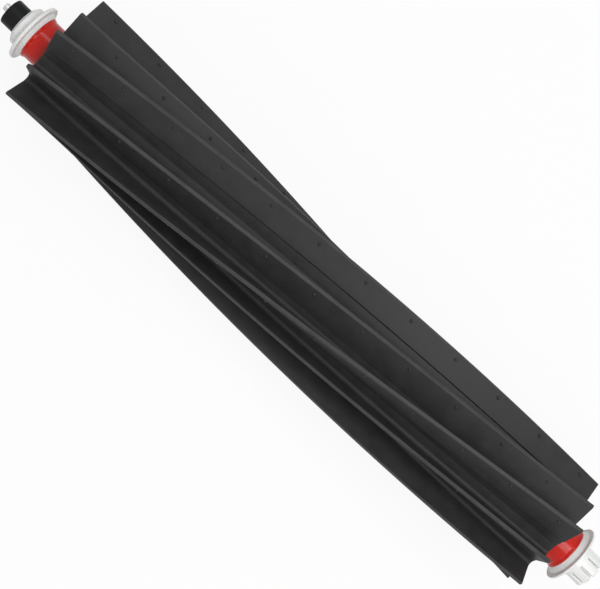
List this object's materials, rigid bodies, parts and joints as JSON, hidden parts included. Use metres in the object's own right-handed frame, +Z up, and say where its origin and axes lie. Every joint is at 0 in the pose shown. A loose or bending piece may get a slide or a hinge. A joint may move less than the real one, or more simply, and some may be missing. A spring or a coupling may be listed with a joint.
{
  "type": "robot vacuum roller brush",
  "caption": "Rubber roller brush with twisted swept fins, tall and short in turn, on a red core with a capped bearing at one end and a splined drive dog at the other.",
  "frame": {"origin": "on the roller's axis, halfway between the axle's tip and the end of the drive dog", "axes": "+X along the axis from the bearing end to the drive end, +Z up with the roller level"},
  "size_m": [0.1782, 0.0308, 0.0308],
  "materials": {
    "fin_rubber": "matt moulded rubber",
    "red_plastic": "glossy moulded plastic",
    "white_plastic": "satin moulded plastic",
    "axle_steel": "ground steel",
    "bush_bronze": "sintered bronze",
    "black_plastic": "satin moulded plastic"
  },
  "bodies": {
    "bearing": {"bearing_cap": "black_plastic", "bearing_bush": "bush_bronze"},
    "roller": {"rubber_sleeve": "fin_rubber", "core_tube": "red_plastic", "idle_guard": "white_plastic", "drive_coupling": "white_plastic", "axle_pin": "axle_steel", "retaining_ring": "axle_steel"}
  },
  "joints": [
    {"name": "roller_spin", "type": "hinge", "parent": "bearing", "child": "roller", "pos_m": [-0.08515, 0, 0], "axis": [1, 0, 0], "continuous": true}
  ]
}
